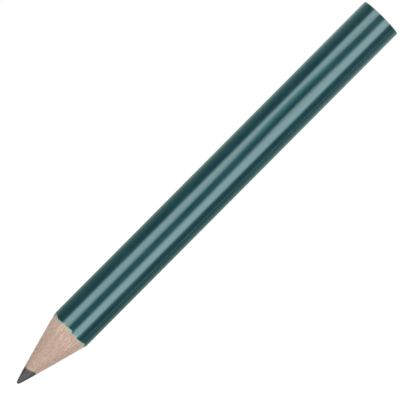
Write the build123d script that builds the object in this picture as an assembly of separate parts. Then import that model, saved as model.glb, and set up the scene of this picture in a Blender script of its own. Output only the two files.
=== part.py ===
from build123d import *
import os
from math import radians, tan

# A short round wooden pencil, standing on its flat rear face with its writing point up.
# The origin is the centre of the rear face, and +Z runs along the pencil to the point.
# The pencil is two grooved wooden slats, glued together round the lead and coated with lacquer.
# The glue joint lies in the XZ plane, so one slat is in front (-Y) and the other behind (+Y).

# Driving dimensions, in millimetres and degrees.
BARREL_DIAMETER = 7.4  # over the lacquer
OVERALL_LENGTH = 84.0  # rear face to writing point
LEAD_DIAMETER = 2.2
SHARPENED_ANGLE = 31.0  # full angle of the sharpened cone
POINT_WEAR = 1.17  # from the writing point to where the cone would have closed
NOSE_LENGTH = 0.75  # the worn stretch below the writing point, blunter than the cone
NOSE_END_RADIUS = 0.16  # at the very end, before its edge is rounded
NOSE_EDGE_ROUNDING = 0.12
NOSE_SHOULDER_ROUNDING = 2.0
REAR_EDGE_ROUNDING = 0.06
CLEAR_THICKNESS = 0.02
COLOUR_THICKNESS = 0.03
PRIMER_THICKNESS = 0.03
GLUE_THICKNESS = 0.05  # between the slats, and round the lead in its groove
CUTTER_OVERHANG = 5  # how far a cutting solid passes each end of the pencil

# Sizes that follow from them.
BARREL_RADIUS = BARREL_DIAMETER / 2
LEAD_RADIUS = LEAD_DIAMETER / 2
GROOVE_RADIUS = LEAD_RADIUS + GLUE_THICKNESS
COLOUR_RADIUS = BARREL_RADIUS - CLEAR_THICKNESS
PRIMER_RADIUS = COLOUR_RADIUS - COLOUR_THICKNESS
WOOD_RADIUS = PRIMER_RADIUS - PRIMER_THICKNESS
CONE_SLOPE = tan(radians(SHARPENED_ANGLE / 2))
CONE_APEX_Z = OVERALL_LENGTH + POINT_WEAR
CONE_BASE_Z = CONE_APEX_Z - BARREL_RADIUS / CONE_SLOPE
CUTTER_LENGTH = OVERALL_LENGTH + 2 * CUTTER_OVERHANG
MIDDLE = Pos(0, 0, OVERALL_LENGTH / 2)


def sharpened_pencil():
    """The whole pencil as one solid of revolution about Z, before it is parted into its pieces."""
    nose_z = OVERALL_LENGTH - NOSE_LENGTH
    nose_shoulder = ((CONE_APEX_Z - nose_z) * CONE_SLOPE, nose_z)
    nose_edge = (NOSE_END_RADIUS, OVERALL_LENGTH)
    rear_edge = (BARREL_RADIUS, 0)
    outline = Polyline(
        (0, 0),
        rear_edge,
        (BARREL_RADIUS, CONE_BASE_Z),
        nose_shoulder,
        nose_edge,
        (0, OVERALL_LENGTH),
        close=True,
    )
    face = make_face(outline)
    for corner, radius in (
        (rear_edge, REAR_EDGE_ROUNDING),
        (nose_shoulder, NOSE_SHOULDER_ROUNDING),
        (nose_edge, NOSE_EDGE_ROUNDING),
    ):
        face = fillet(face.vertices().sort_by_distance((*corner, 0))[0], radius)
    return revolve(Plane.XZ * face, Axis.Z)


def peel(solid, radius):
    """Parts a solid at a radius about Z, and returns its outer and inner pieces."""
    bar = MIDDLE * Cylinder(radius, CUTTER_LENGTH)
    return solid - bar, solid & bar


def beyond_glue(side):
    """A block that holds everything past the glue joint on one side, -1 in front or 1 behind."""
    depth = BARREL_DIAMETER
    block = Box(2 * BARREL_DIAMETER, depth, CUTTER_LENGTH)
    return MIDDLE * Pos(0, side * (GLUE_THICKNESS + depth) / 2, 0) * block


def glue_slab(side):
    """A block that holds the glue joint on one side of the lead, -1 to the left or 1 to the right."""
    width = BARREL_DIAMETER
    return MIDDLE * Pos(side * width / 2, 0, 0) * Box(width, GLUE_THICKNESS, CUTTER_LENGTH)


def pencil_pieces():
    """Every piece of the pencil by name, from the outside in."""
    pieces = {}
    pieces["clear_coat"], rest = peel(sharpened_pencil(), COLOUR_RADIUS)
    pieces["colour_coat"], rest = peel(rest, PRIMER_RADIUS)
    pieces["primer_coat"], rest = peel(rest, WOOD_RADIUS)
    wood, rest = peel(rest, GROOVE_RADIUS)
    pieces["slat_front"] = wood & beyond_glue(-1)
    pieces["slat_back"] = wood & beyond_glue(1)
    pieces["glue_film_left"] = wood & glue_slab(-1)
    pieces["glue_film_right"] = wood & glue_slab(1)
    pieces["lead_bond"], pieces["graphite_core"] = peel(rest, LEAD_RADIUS)
    return pieces


os.makedirs("parts", exist_ok=True)
for name, piece in pencil_pieces().items():
    export_step(piece, f"parts/{name}.step")
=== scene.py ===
"""A short round graphite pencil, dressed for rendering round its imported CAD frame."""

from math import cos, hypot, pi, radians, sin

import bmesh
import bpy
import numpy as np
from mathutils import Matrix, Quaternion, Vector


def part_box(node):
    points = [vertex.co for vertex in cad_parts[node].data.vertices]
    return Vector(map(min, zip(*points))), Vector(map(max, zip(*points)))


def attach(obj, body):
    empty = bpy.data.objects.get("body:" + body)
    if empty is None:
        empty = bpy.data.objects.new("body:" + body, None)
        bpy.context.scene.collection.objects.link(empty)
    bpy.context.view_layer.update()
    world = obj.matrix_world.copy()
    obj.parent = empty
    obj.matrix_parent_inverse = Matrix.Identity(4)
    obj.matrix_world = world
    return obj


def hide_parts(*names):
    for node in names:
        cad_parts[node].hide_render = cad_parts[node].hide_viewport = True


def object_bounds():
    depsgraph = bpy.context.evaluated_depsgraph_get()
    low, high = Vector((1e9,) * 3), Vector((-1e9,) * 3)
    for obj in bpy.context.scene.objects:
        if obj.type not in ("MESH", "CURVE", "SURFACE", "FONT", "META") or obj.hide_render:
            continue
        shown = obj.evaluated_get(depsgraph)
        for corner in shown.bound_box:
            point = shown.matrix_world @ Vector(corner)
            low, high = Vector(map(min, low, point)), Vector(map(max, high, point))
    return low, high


MM = 0.001
TURN = 2 * pi

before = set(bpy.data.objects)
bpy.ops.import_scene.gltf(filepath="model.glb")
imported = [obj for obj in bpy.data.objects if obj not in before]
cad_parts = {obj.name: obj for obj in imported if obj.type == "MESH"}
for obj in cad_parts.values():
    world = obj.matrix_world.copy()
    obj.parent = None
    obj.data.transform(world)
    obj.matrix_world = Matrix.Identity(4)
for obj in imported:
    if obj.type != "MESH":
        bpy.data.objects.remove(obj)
cad_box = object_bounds()
rng = np.random.default_rng(seed=12)


# Sizes, read from the frame. The pencil stands on its rear face, at z = 0, with its point up.
# The cone is carried on to the sharp apex that it had before its point wore down.

slat_low, slat_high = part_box("slat_back")
BARREL_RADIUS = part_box("clear_coat")[1].y
UNDERCOAT_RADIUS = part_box("primer_coat")[1].x
WOOD_RADIUS = hypot(slat_high.x, slat_low.y)
GROOVE_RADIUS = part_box("lead_bond")[1].x
LEAD_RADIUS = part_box("graphite_core")[1].x
HALF_GLUE = slat_low.y
POINT_Z = cad_box[1].z
CONE_SLOPE = (WOOD_RADIUS - GROOVE_RADIUS) / (slat_high.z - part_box("primer_coat")[1].z)
APEX_Z = slat_high.z + GROOVE_RADIUS / CONE_SLOPE
CONE_BASE_Z = APEX_Z - BARREL_RADIUS / CONE_SLOPE

# Surface detail. It only takes away from the barrel and the cone, or moves the line between two materials.

REAR_ROUNDING = 0.03 * MM
CORNER_ROUNDING = 0.02 * MM  # between the barrel and the cone
WORN_CORNER_ROUNDING = 0.16 * MM  # more of it, on the side that faces +X
WORN_CORNER_SPREAD = radians(38)
POINT_SHARPNESS = 3.2  # the power that sets how abruptly the cone ends in its worn point
BARREL_WAVE_DEPTH = 0.01 * MM
BLADE_WANDER_DEPTH = 0.04 * MM
FIBRE_DEPTH = 0.006 * MM
CHATTER_DEPTH = 0.005 * MM
BIG_CHIP = 0.35 * MM
SMALL_CHIP = 0.1 * MM
UNDERCOAT_SHARE = 0.6  # how far the big chips in the lacquer reach into the undercoat
GRAIN_DEPTH = 0.09 * MM  # how deep the coats sink into the grain of the wood
FEATHER = 0.02 * MM  # how far a coat's thin front edge runs on along the layer below
CHALK_DEPTH = 0.03 * MM  # how much of the lacquer's cut face turned chalky
LEAD_RAGGEDNESS = 0.075 * MM  # how far the line where the wood ends leaves a circle
LEAD_OVAL_TURN = radians(50)  # twice the angle of that line's long axis
LEAD_WOBBLE = 0.8  # this and the next are shares of the raggedness
LEAD_INSET = 0.5
NOSE_LENGTH = 0.25 * MM  # the end of the point, which has finer rows
NOSE_GAP = 0.06  # its square is the share of the nose that is left above the last row

# How finely the meshes are divided.

COAT_SIDES = 600
SLAT_SIDES = 330
LEAD_SIDES = 240
BOND_SIDES = 180
FINE_ROWS_Z = CONE_BASE_Z - 1.5 * MM  # above this the coats have the rows for their ragged edge
SEARCH_Z = CONE_BASE_Z - 1 * MM  # where the search for a radius on the cone starts
SEARCH_STEPS = 900
CHALK_Z = CONE_BASE_Z - 2 * MM  # below this no lacquer is chalky
SHARP_EDGE = radians(35)  # edges that turn more than this aren't shaded smooth


# Seeded noise over the outside of the pencil.


def ease(t):
    """Smooth step from 0 to 1, with no kink in its slope."""
    return t**3 * (6 * t**2 - 15 * t + 10)


def bell(t):
    """A smooth hump, 1 at 0 and nearly 0 from 2 on."""
    return np.exp(-(t**2))


def noise_field(around, along):
    """A smooth random function of angle and height, from 0 to 1.

    It has so many swells around the pencil, and one for each such length along it.
    """
    rows = int(POINT_Z / along) + 3  # with one to spare past the point
    grid = rng.uniform(0, 1, (rows, around))

    def field(angle, z):
        u = angle / TURN % 1 * around
        v = np.clip(z, 0, POINT_Z) / along
        column = np.floor(u).astype(int) % around
        row = np.floor(v).astype(int)
        across = ease(u - np.floor(u))
        up = ease(v - np.floor(v))
        following = (column + 1) % around
        lower = grid[row, column] * (1 - across) + grid[row, following] * across
        upper = grid[row + 1, column] * (1 - across) + grid[row + 1, following] * across
        return lower * (1 - up) + upper * up

    return field


def jagged(count, power):
    """A function of angle from 0 to 1 with straight-sided teeth, most of them low when power is high."""
    places = np.sort(rng.uniform(0, TURN, count))
    heights = rng.uniform(0, 1, count) ** power

    def edge(angle):
        return np.interp(angle % TURN, places, heights, period=TURN)

    return edge


barrel_waves = noise_field(around=7, along=11 * MM)
blade_wander = noise_field(around=11, along=5 * MM)
fibres = noise_field(around=170, along=0.9 * MM)
chatter = noise_field(around=26, along=0.29 * MM)
lead_wobble = noise_field(around=9, along=200 * MM)
big_teeth = jagged(count=40, power=3)
small_teeth = jagged(count=120, power=1.5)
open_grain = jagged(count=60, power=1)


# The outside of the pencil, as a radius at each angle and height. Angle 0 is +X and pi / 2 is +Y.


def soft_min(a, b, width):
    """The smaller of a and b, with the change from one to the other rounded over a width."""
    share = np.clip(0.5 + 0.5 * (b - a) / width, 0, 1)
    return b + (a - b) * share - width * share * (1 - share)


def bare_cone(angle, z):
    """The sharpened cone as the blade left it."""
    cut = BLADE_WANDER_DEPTH * blade_wander(angle, z)
    cut = cut + FIBRE_DEPTH * fibres(angle, z) + CHATTER_DEPTH * chatter(angle, z)
    wear = APEX_Z - POINT_Z
    full_length = np.maximum(APEX_Z - z, wear)
    worn_length = (full_length**POINT_SHARPNESS - wear**POINT_SHARPNESS) ** (1 / POINT_SHARPNESS)
    return np.maximum(worn_length * CONE_SLOPE - cut, 0)


def outside(angle, z):
    """The radius of the whole pencil."""
    barrel = BARREL_RADIUS - BARREL_WAVE_DEPTH * barrel_waves(angle, z)
    from_right = (angle + pi) % TURN - pi
    corner = CORNER_ROUNDING + WORN_CORNER_ROUNDING * bell(from_right / WORN_CORNER_SPREAD)
    radius = soft_min(barrel, bare_cone(angle, z), corner)
    from_rear = np.clip(REAR_ROUNDING - z, 0, None)
    return radius - REAR_ROUNDING + np.sqrt(REAR_ROUNDING**2 - from_rear**2)


def height_at(radius, angle):
    """Where on the sharpened end the outside shrinks to a radius, at each angle."""
    z = np.linspace(SEARCH_Z, POINT_Z, SEARCH_STEPS)
    shrinking = np.minimum.accumulate(outside(angle, z[None, :]), axis=1)
    wanted = np.broadcast_to(radius, angle.shape)
    found = [np.interp(-goal, -row, z) for goal, row in zip(wanted[:, 0], shrinking)]
    return np.array(found)[:, None]


def sunk(radius, angle):
    """The radius of a coat's inner face, which dips into the open grain of the wood."""
    return radius - GRAIN_DEPTH * open_grain(angle)


def lead_outline(angle):
    """How far the line where the wood ends round the lead is outside a circle."""
    oval = np.cos(2 * angle - LEAD_OVAL_TURN)
    wobble = LEAD_WOBBLE * lead_wobble(angle, 0 * angle)
    return LEAD_RAGGEDNESS * (oval + wobble - LEAD_INSET)


# Meshes. A profile is two arrays, radii and heights, with a row for each angle.


def steps(low, high, count):
    """Values from low to high at each angle, in equal steps."""
    return low + (high - low) * np.linspace(0, 1, count)[None, :]


def join(*stretches):
    """Stretches of a profile end to end. One that has a single row is the same at every angle."""
    rows = max(len(stretch) for stretch in stretches)
    return np.hstack([np.broadcast_to(stretch, (rows, stretch.shape[1])) for stretch in stretches])


def profile(*parts):
    """A profile from pairs of radii and heights. A single number may stand for a whole stretch."""
    pairs = [np.broadcast_arrays(np.atleast_2d(radius), np.atleast_2d(height)) for radius, height in parts]
    radii, heights = zip(*pairs)
    return join(*radii), join(*heights)


def points_of(angle, radii, heights):
    """The vertices of a profile, a row for each angle."""
    return np.stack([radii * np.cos(angle), radii * np.sin(angle), heights], axis=-1)


def strips(rows, columns, wrap_rows=False, wrap_columns=False):
    """Quads over a grid of vertices, which may close on itself either way."""
    faces = []
    for i in range(rows if wrap_rows else rows - 1):
        here = i * columns
        beyond = (i + 1) % rows * columns
        for j in range(columns if wrap_columns else columns - 1):
            k = (j + 1) % columns
            faces.append((here + j, beyond + j, beyond + k, here + k))
    return faces


def make_piece(name, vertices, faces, material, slot, *nodes):
    """A mesh object that rides on the frame and stands for CAD nodes."""
    mesh = bpy.data.meshes.new(name)
    mesh.from_pydata(vertices.reshape(-1, 3).tolist(), [], faces)
    work = bmesh.new()
    work.from_mesh(mesh)
    bmesh.ops.recalc_face_normals(work, faces=work.faces)
    work.to_mesh(mesh)
    work.free()
    mesh.shade_smooth()
    mesh.set_sharp_from_angle(angle=SHARP_EDGE)
    mesh.materials.append(material)
    piece = bpy.data.objects.new(name, mesh)
    bpy.context.scene.collection.objects.link(piece)
    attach(piece, "root")
    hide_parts(*nodes)
    return piece


def ring(angle, radii, heights):
    """Vertices and faces of a closed ring whose profile closes on itself."""
    return points_of(angle, radii, heights), strips(*radii.shape, wrap_rows=True, wrap_columns=True)


def sector(angle, radii, heights):
    """Vertices and faces of part of a ring, closed at both ends."""
    rows, columns = radii.shape
    faces = strips(rows, columns, wrap_columns=True)
    faces.append(tuple(range(columns)))
    faces.append(tuple((rows - 1) * columns + j for j in range(columns)))
    return points_of(angle, radii, heights), faces


def spindle(angle, radii, heights, bottom, top):
    """Vertices and faces of a solid whose profile runs from a point on the axis up to another."""
    rows, columns = radii.shape
    grid = points_of(angle, radii, heights).reshape(-1, 3)
    vertices = np.vstack([grid, (0, 0, bottom), (0, 0, top)])
    faces = strips(rows, columns, wrap_rows=True)
    bottom_vertex = rows * columns
    top_vertex = bottom_vertex + 1
    for i in range(rows):
        here = i * columns
        beyond = (i + 1) % rows * columns
        faces.append((here, beyond, bottom_vertex))
        faces.append((here + columns - 1, beyond + columns - 1, top_vertex))
    return vertices, faces


def full_circle(count):
    """Angles in equal steps all the way round."""
    return (np.arange(count) / count * TURN)[:, None]


def coat(inner, outer, angle, bite):
    """Profile of a coat between two radii, whose front edge is bitten back by a length at each angle."""
    curl = steps(radians(4), pi / 2, count=7)  # up the rounded rear edge, from just off the rear face
    rounded = REAR_ROUNDING * (1 - np.cos(curl))
    straight = steps(REAR_ROUNDING, FINE_ROWS_Z, count=120)[:, 1:]
    front = height_at(inner, angle) - bite
    ragged = steps(FINE_ROWS_Z, front, count=16)[:, 1:]
    heights = join(rounded, straight, ragged)
    radii = np.clip(outside(angle, heights), inner, outer)
    rear = rounded[:, :1] / 2
    return profile((inner, rear), (radii, heights), (inner, front + FEATHER))


def slat_profile(angle, groove):
    """Profile of the wood from the groove out to the paint, and along the cone to the lead."""
    painted = sunk(WOOD_RADIUS, angle)
    wood_start = height_at(painted, angle)
    wood_end = height_at(groove, angle)
    cone = steps(wood_start, wood_end, count=130)
    return profile(
        (GROOVE_RADIUS, 0.0),
        (painted, steps(0, wood_start, count=4)[:, :-1]),
        (np.maximum(outside(angle, cone), groove), cone),
    )


# Materials. Every texture is laid out in millimetres, from the object's own coordinates.


class Shader:
    """A material with a Principled shader, and short ways to add the nodes that feed it."""

    def __init__(self, name, **settings):
        self.material = bpy.data.materials.new(name)
        self.material.use_nodes = True
        self.tree = self.material.node_tree
        self.principled = self.tree.nodes["Principled BSDF"]
        for socket, value in settings.items():
            self.principled.inputs[socket.replace("_", " ")].default_value = value
        coordinates = self.tree.nodes.new("ShaderNodeTexCoord").outputs["Object"]
        self.place = self.node("ShaderNodeVectorMath", {0: coordinates, "Scale": 1 / MM}, "SCALE").outputs[0]

    def node(self, kind, inputs, operation=None):
        """Adds a node, and fills or links its inputs."""
        node = self.tree.nodes.new(kind)
        if operation:
            node.operation = operation
        for socket, value in inputs.items():
            if isinstance(value, bpy.types.NodeSocket):
                self.tree.links.new(value, node.inputs[socket])
            else:
                node.inputs[socket].default_value = value
        return node

    def product(self, a, b):
        """One value times the other."""
        return self.node("ShaderNodeMath", {0: a, 1: b}, "MULTIPLY").outputs[0]

    def height(self):
        """The height above the rear face, in millimetres."""
        return self.node("ShaderNodeSeparateXYZ", {0: self.place}).outputs["Z"]

    def stretched(self, x, y, z):
        """The place, scaled along each axis, in cells per millimetre."""
        return self.node("ShaderNodeVectorMath", {0: self.place, 1: (x, y, z)}, "MULTIPLY").outputs[0]

    def along_axis(self, around, along):
        """A place that changes with the angle round the axis and the height, so textures run up the cone."""
        flat = self.node("ShaderNodeVectorMath", {0: self.place, 1: (1, 1, 0)}, "MULTIPLY").outputs[0]
        direction = self.node("ShaderNodeVectorMath", {0: flat}, "NORMALIZE").outputs[0]
        turned = self.node("ShaderNodeVectorMath", {0: direction, "Scale": around}, "SCALE").outputs[0]
        lifted = self.stretched(0, 0, along)
        return self.node("ShaderNodeVectorMath", {0: turned, 1: lifted}, "ADD").outputs[0]

    def attribute(self, name):
        """A value stored on the mesh."""
        node = self.tree.nodes.new("ShaderNodeAttribute")
        node.attribute_name = name
        return node.outputs["Fac"]

    def noise(self, vector, scale=1.0, detail=3.0, roughness=0.5):
        """Soft noise round 0.5."""
        inputs = {"Vector": vector, "Scale": scale, "Detail": detail, "Roughness": roughness}
        return self.node("ShaderNodeTexNoise", inputs).outputs["Fac"]

    def ramp(self, value, low, high, start=0.0, end=1.0):
        """Spreads a value between two limits over a range, with a soft start and finish."""
        inputs = {"Value": value, "From Min": low, "From Max": high, "To Min": start, "To Max": end}
        node = self.node("ShaderNodeMapRange", inputs)
        node.interpolation_type = "SMOOTHSTEP"
        return node.outputs["Result"]

    def blend(self, share, first, second):
        """Mixes two colours. The node's sockets go by number, because it has more than one of each name."""
        node = self.tree.nodes.new("ShaderNodeMix")
        node.data_type = "RGBA"
        for socket, value in ((0, share), (6, first), (7, second)):
            if isinstance(value, bpy.types.NodeSocket):
                self.tree.links.new(value, node.inputs[socket])
            else:
                node.inputs[socket].default_value = value if socket == 0 else (*value, 1)
        return node.outputs[2]

    def bump(self, height, distance, below=None):
        """Bumps so many millimetres high, on top of the ones below."""
        inputs = {"Height": height, "Distance": distance * MM, "Strength": 1.0}
        if below:
            inputs["Normal"] = below
        return self.node("ShaderNodeBump", inputs).outputs["Normal"]

    def finish(self, colour, roughness, normal):
        """Links the textures to the shader."""
        for socket, value in (("Base Color", colour), ("Roughness", roughness), ("Normal", normal)):
            self.tree.links.new(value, self.principled.inputs[socket])
        return self.material


def lacquer_material():
    """Dark teal enamel under a glossy clear coat, with painted warm light towards the rear end."""
    deep_teal = (0.011, 0.055, 0.066)
    teal = (0.015, 0.07, 0.082)
    speck_colour = (0.03, 0.11, 0.115)
    rear_light_teal = (0.022, 0.068, 0.077)
    chalky_mint = (0.22, 0.4, 0.32)
    rear_light_length = 14  # millimetres from the rear over which the painted warm light fades out
    shader = Shader("teal_lacquer", Coat_Weight=1.0, Coat_Roughness=0.06, Specular_Tint=(0.45, 1, 1, 1))
    clouds = shader.noise(shader.stretched(0.5, 0.5, 0.12), detail=3)
    specks = shader.noise(shader.place, scale=9, detail=2)
    colour = shader.blend(shader.ramp(clouds, 0.3, 0.7), deep_teal, teal)
    colour = shader.blend(shader.ramp(specks, 0.55, 0.8, end=0.35), colour, speck_colour)
    # Painted light: the teal turns warmer and lighter towards the rear end, standing in for the low light
    # there.
    colour = shader.blend(shader.ramp(shader.height(), rear_light_length, 0, end=0.7), colour, rear_light_teal)
    colour = shader.blend(shader.attribute("cut"), colour, chalky_mint)
    smudges = shader.noise(shader.stretched(0.9, 0.9, 0.25), detail=4)
    roughness = shader.ramp(smudges, 0.3, 0.75, start=0.19, end=0.27)
    orange_peel = shader.noise(shader.place, scale=2.2, detail=2)
    brush_marks = shader.noise(shader.stretched(6, 6, 1.2), detail=3)
    normal = shader.bump(orange_peel, 0.0008)
    normal = shader.bump(brush_marks, 0.0001, normal)
    return shader.finish(colour, roughness, normal)


def undercoat_material():
    """Matt mint undercoat, a little dusty where it was cut."""
    mint = (0.25, 0.44, 0.36)
    dusty_mint = (0.42, 0.58, 0.49)
    shader = Shader("mint_undercoat")
    dust = shader.noise(shader.place, scale=3.5, detail=4)
    pits = shader.noise(shader.place, scale=14, detail=3)
    colour = shader.blend(shader.ramp(dust, 0.3, 0.75), mint, dusty_mint)
    roughness = shader.ramp(dust, 0.2, 0.8, start=0.5, end=0.75)
    normal = shader.bump(pits, 0.006)
    return shader.finish(colour, roughness, normal)


def wood_material():
    """Bare pinkish softwood, with fibres along the pencil and the marks of the sharpener."""
    dark_streak = (0.62, 0.435, 0.35)
    light_streak = (0.8, 0.595, 0.5)
    light_dash = (0.95, 0.76, 0.65)
    dark_dash = (0.5, 0.345, 0.27)
    open_pore = (0.38, 0.255, 0.19)
    yellow_band = (0.62, 0.51, 0.37)
    torn_fibre = (1.0, 0.83, 0.71)
    cone_base = CONE_BASE_Z / MM
    torn_length = 5  # millimetres from the paint towards the point
    shader = Shader("bare_wood", Specular_IOR_Level=0.3, Diffuse_Roughness=1.0)
    streaks = shader.noise(shader.along_axis(34, 0.3), detail=3, roughness=0.6)
    bands = shader.noise(shader.along_axis(13, 0.12), detail=3)
    dashes = shader.noise(shader.stretched(7.5, 6, 1.4), detail=2, roughness=0.6)
    pores = shader.noise(shader.stretched(11, 9, 3), detail=1)
    splinters = shader.noise(shader.along_axis(30, 0.8), detail=3, roughness=0.6)
    blade_marks = shader.noise(shader.along_axis(5, 4.5), detail=2)
    colour = shader.blend(shader.ramp(streaks, 0.35, 0.65), dark_streak, light_streak)
    colour = shader.blend(shader.ramp(dashes, 0.52, 0.68, end=0.65), colour, light_dash)
    colour = shader.blend(shader.ramp(dashes, 0.48, 0.32, end=0.55), colour, dark_dash)
    colour = shader.blend(shader.ramp(pores, 0.5, 0.36, end=0.5), colour, open_pore)
    colour = shader.blend(shader.ramp(bands, 0.45, 0.62, end=0.4), colour, yellow_band)
    near_paint = shader.ramp(shader.height(), cone_base, cone_base + torn_length, start=1, end=0)
    torn = shader.product(near_paint, shader.ramp(splinters, 0.51, 0.6))
    colour = shader.blend(torn, colour, torn_fibre)
    roughness = shader.ramp(streaks, 0.25, 0.75, start=0.5, end=0.75)
    normal = shader.bump(dashes, 0.015)
    normal = shader.bump(streaks, 0.01, normal)
    normal = shader.bump(blade_marks, 0.006, normal)
    return shader.finish(colour, roughness, normal)


def glue_material():
    """Dried wood glue, seen only as hairlines at the ends."""
    brown = (0.3, 0.24, 0.19)
    pale_brown = (0.46, 0.36, 0.28)
    shader = Shader("dried_glue", Specular_IOR_Level=0.4)
    grain = shader.noise(shader.stretched(4, 4, 0.8), detail=3)
    colour = shader.blend(shader.ramp(grain, 0.3, 0.7), brown, pale_brown)
    roughness = shader.ramp(grain, 0.3, 0.7, start=0.35, end=0.55)
    normal = shader.bump(grain, 0.006)
    return shader.finish(colour, roughness, normal)


def lead_material():
    """Satin grey graphite, scored along by the sharpener."""
    dark_grey = (0.085, 0.083, 0.084)
    grey = (0.142, 0.139, 0.139)
    bright_grain = (0.19, 0.19, 0.195)
    shader = Shader("graphite", Specular_IOR_Level=0.4, Diffuse_Roughness=1.0)
    scores = shader.noise(shader.along_axis(8, 0.25), detail=5, roughness=0.65)
    grains = shader.noise(shader.place, scale=11, detail=3)
    colour = shader.blend(shader.ramp(scores, 0.3, 0.7), dark_grey, grey)
    colour = shader.blend(shader.ramp(grains, 0.55, 0.8, end=0.4), colour, bright_grain)
    roughness = shader.ramp(scores, 0.3, 0.7, start=0.36, end=0.55)
    normal = shader.bump(scores, 0.012)
    normal = shader.bump(grains, 0.004, normal)
    return shader.finish(colour, roughness, normal)


# The pieces.


def build_coats():
    """The undercoat, and the lacquer over it, both ragged where the sharpener cut them."""
    angle = full_circle(COAT_SIDES)
    chips = BIG_CHIP * big_teeth(angle)
    lacquer_bite = chips + SMALL_CHIP * small_teeth(angle)
    between_coats = sunk(UNDERCOAT_RADIUS, angle)
    lacquer = coat(between_coats, BARREL_RADIUS, angle, lacquer_bite)
    undercoat = coat(sunk(WOOD_RADIUS, angle), between_coats, angle, UNDERCOAT_SHARE * chips)
    paint = lacquer_material()
    vertices, faces = ring(angle, *lacquer)
    piece = make_piece("lacquer", vertices, faces, paint, "colour_lacquer", "colour_coat", "clear_coat")
    mark_cut_edge(piece, *lacquer, between_coats)
    make_piece("undercoat", *ring(angle, *undercoat), undercoat_material(), "primer", "primer_coat")


def mark_cut_edge(piece, radii, heights, inner):
    """Stores how chalky each vertex is, next to the undercoat on the face that the blade cut."""
    chalk = np.clip(2 - 2 * (radii - inner) / CHALK_DEPTH, 0, 1) * (heights > CHALK_Z)
    attribute = piece.data.attributes.new("cut", "FLOAT", "POINT")
    attribute.data.foreach_set("value", chalk.astype(np.float32).ravel())


def build_wood():
    """The two slats, a thin glue film apart."""
    material = wood_material()
    sweep = np.linspace(0, 1, SLAT_SIDES)[:, None]
    for name, start in (("slat_back", 0), ("slat_front", pi)):
        angle = start + sweep * pi
        groove = GROOVE_RADIUS + lead_outline(angle)
        radii, heights = slat_profile(angle, groove)
        inset = np.arcsin(HALF_GLUE / radii)  # which keeps the glued faces flat
        inset_angle = start + inset + sweep * (pi - 2 * inset)
        make_piece("wood_" + name, *sector(inset_angle, radii, heights), material, "wood", name)


def build_glue():
    """The films between the slats, and the bond round the lead."""
    material = glue_material()
    for name, middle in (("glue_film_right", 0), ("glue_film_left", pi)):
        angle = np.full((2, 1), float(middle))
        groove = GROOVE_RADIUS + lead_outline(angle)
        radii, heights = slat_profile(angle, groove)
        inset = np.arcsin(HALF_GLUE / radii) * np.array([[-1], [1]])
        make_piece("seam_" + name, *sector(middle + inset, radii, heights), material, "glue", name)
    angle = full_circle(BOND_SIDES)
    lead = LEAD_RADIUS + lead_outline(angle)
    groove = GROOVE_RADIUS + lead_outline(angle)
    rim = steps(height_at(groove, angle), height_at(lead, angle), count=3)
    bond = profile((LEAD_RADIUS, 0.0), (GROOVE_RADIUS, 0.0), (groove, rim[:, :1]), (lead, rim[:, -1:]))
    make_piece("lead_glue", *ring(angle, *bond), material, "glue", "lead_bond")


def build_lead():
    """The lead, from the rear face to its worn point."""
    angle = full_circle(LEAD_SIDES)
    lead = LEAD_RADIUS + lead_outline(angle)
    shoulder = height_at(lead, angle)
    cone = steps(shoulder, POINT_Z - NOSE_LENGTH, count=90)
    nose = POINT_Z - NOSE_LENGTH * steps(1, NOSE_GAP, count=24)[:, 1:] ** 2
    exposed = join(cone, nose)
    radii, heights = profile(
        (LEAD_RADIUS / 2, 0.0),
        (LEAD_RADIUS, 0.0),
        (np.minimum(outside(angle, exposed), lead), exposed),
    )
    vertices, faces = spindle(angle, radii, heights, 0.0, POINT_Z)
    make_piece("lead", vertices, faces, lead_material(), "graphite", "graphite_core")


# The stage: a plain pale floor, a dim room, soft lights and the camera. Lengths are in metres. Angles are in
# degrees, round the pencil from the camera's side towards +X.

WHITE = 1.02  # the glow of the floor and the backdrop, just past full white
ROOM_RADIANCE = 0.04
FLOOR_RADIUS = 6
LIGHT_DISTANCE = 0.8
CARD_LOW = -0.9
CARD_HIGH = 0.64
CARD_ROWS = 220
CARD_COLUMNS = 41
BEND_HEIGHT = -0.04  # where the inner edge of a card bends
BEND_REACH = 0.016
LOW_GLOW_TOP = 0.03  # where a low glow starts, and how far down it takes to be full
LOW_GLOW_REACH = 0.11
DEEP_GLOW_TOP = -0.13
DEEP_GLOW_REACH = 0.09
CAMERA_DISTANCE = 1.5
CAMERA_ELEVATION = 3.65
CAMERA_ROLL = 135.14  # lays the pencil from corner to corner
CAMERA_REACH = 12  # past the far side of the floor
VIEW_WIDTH = 65.02 * MM  # how much the camera sees from side to side, at the pencil
AIM_OFFSET = Vector((-0.0406, 0, -0.0894)) * MM  # from the middle of the pencil
SENSOR_WIDTH = 36  # in millimetres, like Blender's focal lengths


def glow_material(name):
    """A material that does nothing but glow, and the node that sets how."""
    material = bpy.data.materials.new(name)
    material.use_nodes = True
    nodes = material.node_tree.nodes
    nodes.clear()
    glow = nodes.new("ShaderNodeEmission")
    output = nodes.new("ShaderNodeOutputMaterial")
    material.node_tree.links.new(glow.outputs[0], output.inputs["Surface"])
    return material, glow


def hide(thing, *rays):
    """Hides an object from some kinds of rays."""
    for ray in rays:
        setattr(thing, "visible_" + ray, False)


def build_floor():
    """A white floor, which lights nothing and isn't mirrored."""
    bpy.ops.mesh.primitive_circle_add(vertices=96, radius=FLOOR_RADIUS, fill_type="NGON", location=(0, 0, 0))
    floor = bpy.context.object
    floor.name = "floor"
    material, glow = glow_material("pale_floor")
    glow.inputs["Strength"].default_value = WHITE
    floor.data.materials.append(material)
    hide(floor, "diffuse", "glossy", "transmission", "shadow")


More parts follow.
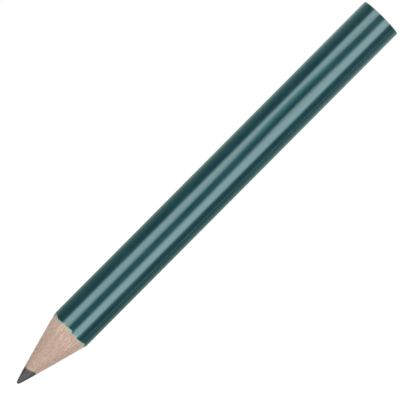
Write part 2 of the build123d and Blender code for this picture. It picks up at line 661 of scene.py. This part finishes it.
def build_world():
    """White behind the floor, and a dim room in the reflections."""
    world = bpy.data.worlds.new("room")
    bpy.context.scene.world = world
    world.use_nodes = True
    nodes = world.node_tree.nodes
    links = world.node_tree.links
    background = nodes["Background"]
    path = nodes.new("ShaderNodeLightPath")
    strength = nodes.new("ShaderNodeMapRange")
    strength.inputs["To Min"].default_value = ROOM_RADIANCE
    strength.inputs["To Max"].default_value = WHITE
    links.new(path.outputs["Is Camera Ray"], strength.inputs["Value"])
    links.new(strength.outputs["Result"], background.inputs["Strength"])
    background.inputs["Color"].default_value = (1, 1, 1, 1)


def beside(angle, distance, height):
    """A place round the pencil."""
    return Vector((sin(radians(angle)) * distance, -cos(radians(angle)) * distance, height))


def soft_box(name, angle, height, width, tall, radiance, distance=LIGHT_DISTANCE):
    """A soft light that faces the pencil. It isn't seen in the gloss, where the cards stand for it."""
    light = bpy.data.lights.new(name, "AREA")
    light.shape = "RECTANGLE"
    light.size = width
    light.size_y = tall
    light.energy = radiance * width * tall * pi
    box = bpy.data.objects.new(name, light)
    bpy.context.scene.collection.objects.link(box)
    box.location = beside(angle, distance, height)
    box.rotation_euler = (box.location - Vector((0, 0, POINT_Z / 2))).to_track_quat("Z", "Y").to_euler()
    hide(box, "camera", "glossy")


def card_material(name, radiance, tint):
    """A glow that follows the brightness stored on a card."""
    material, glow = glow_material(name)
    nodes = material.node_tree.nodes
    links = material.node_tree.links
    glow.inputs["Color"].default_value = (*tint, 1)
    brightness = nodes.new("ShaderNodeAttribute")
    brightness.attribute_name = "brightness"
    strength = nodes.new("ShaderNodeMath")
    strength.operation = "MULTIPLY"
    strength.inputs[1].default_value = radiance
    links.new(brightness.outputs["Fac"], strength.inputs[0])
    links.new(strength.outputs[0], glow.inputs["Strength"])
    return material


def depth_below(heights, top, reach):
    """From 0 at the top to 1 at a reach below it."""
    return ease(np.clip((top - heights) / reach, 0, 1))


def card(name, inner, outer, radiance, tint, softness, bend=0.0, slope=0.0, low_glow=0.0, deep_glow=0.0):
    """A glowing card that only the gloss sees, upright between two angles.

    Its inner edge may bend by an angle, and it fades over a softness on both sides of each edge. A slope
    makes it brighter towards the outer edge, a low glow where the rear of the pencil mirrors it in a level
    view, and a deep glow where the whole pencil mirrors it in a view from above.
    """
    heights = np.linspace(CARD_LOW, CARD_HIGH, CARD_ROWS)[:, None]
    share = np.linspace(0, 1, CARD_COLUMNS)[None, :]
    fade = softness if outer > 0 else -softness
    start = inner - fade + bend * bell((heights - BEND_HEIGHT) / BEND_REACH)
    end = outer + fade
    angle = start + (end - start) * share
    inside = np.clip(np.minimum(np.abs(angle - start), np.abs(end - angle)) / (2 * softness), 0, 1)
    glow = 1 + low_glow * depth_below(heights, LOW_GLOW_TOP, LOW_GLOW_REACH)
    glow = glow + deep_glow * depth_below(heights, DEEP_GLOW_TOP, DEEP_GLOW_REACH)
    brightness = ease(inside) * (1 + slope * (2 * share - 1)) * glow
    bearing = np.radians(angle)
    places = [LIGHT_DISTANCE * np.sin(bearing), -LIGHT_DISTANCE * np.cos(bearing), heights + 0 * angle]
    mesh = bpy.data.meshes.new(name)
    mesh.from_pydata(np.stack(places, axis=-1).reshape(-1, 3).tolist(), [], strips(*angle.shape))
    attribute = mesh.attributes.new("brightness", "FLOAT", "POINT")
    attribute.data.foreach_set("value", brightness.astype(np.float32).ravel())
    mesh.materials.append(card_material(name, radiance, tint))
    panel = bpy.data.objects.new(name, mesh)
    bpy.context.scene.collection.objects.link(panel)
    hide(panel, "camera", "diffuse", "transmission", "shadow")


def build_lights():
    """Bright cards in front, dim ones that rim the barrel, and soft boxes for what isn't glossy."""
    front = {"softness": 10.5}
    card("front_card_right", 18, 55, radiance=3.45, tint=(0.95, 1, 0.98), bend=20, **front)
    card("front_card_left", -19.5, -55.5, radiance=3.75, tint=(0.95, 1, 1.01), bend=13, **front)
    back = {"tint": (0.66, 1, 0.95), "softness": 5, "low_glow": 0.5, "deep_glow": 5}
    card("back_card_right", 88, 160, radiance=0.34, slope=0.7, **back)
    card("back_card_left", -100, -160, radiance=0.33, slope=0.5, **back)
    card("strip_left", -93, -99, radiance=2.1, tint=(0.8, 1, 0.95), softness=3)
    soft_box("key_right", 37, height=0.2, width=0.6, tall=0.5, radiance=3.4)
    soft_box("key_left", -37, height=0.2, width=0.6, tall=0.5, radiance=3.8)
    soft_box("side_right", 80, height=0.2, width=0.4, tall=0.5, radiance=0.4)
    soft_box("low_right", 50, height=0, width=0.08, tall=0.08, radiance=1.3, distance=0.12)
    soft_box("low_left", -50, height=0, width=0.08, tall=0.08, radiance=1.5, distance=0.12)
    soft_box("back_fill", 180, height=0.35, width=0.35, tall=0.5, radiance=7.0)


def build_camera():
    """A long lens far in front, looking down a little, and rolled."""
    data = bpy.data.cameras.new("camera")
    data.sensor_width = SENSOR_WIDTH
    data.lens = SENSOR_WIDTH * CAMERA_DISTANCE / VIEW_WIDTH
    data.clip_end = CAMERA_REACH
    camera = bpy.data.objects.new("camera", data)
    bpy.context.scene.collection.objects.link(camera)
    elevation = radians(CAMERA_ELEVATION)
    back = Vector((0, -cos(elevation), sin(elevation)))
    upright = (-back).to_track_quat("-Z", "Y")
    camera.rotation_mode = "QUATERNION"
    camera.rotation_quaternion = upright @ Quaternion((0, 0, 1), radians(-CAMERA_ROLL))
    camera.location = (cad_box[0] + cad_box[1]) / 2 + AIM_OFFSET + back * CAMERA_DISTANCE
    bpy.context.scene.camera = camera


build_coats()
build_wood()
build_glue()
build_lead()
build_floor()
build_world()
build_lights()
build_camera()
bpy.context.scene.view_settings.view_transform = "Standard"
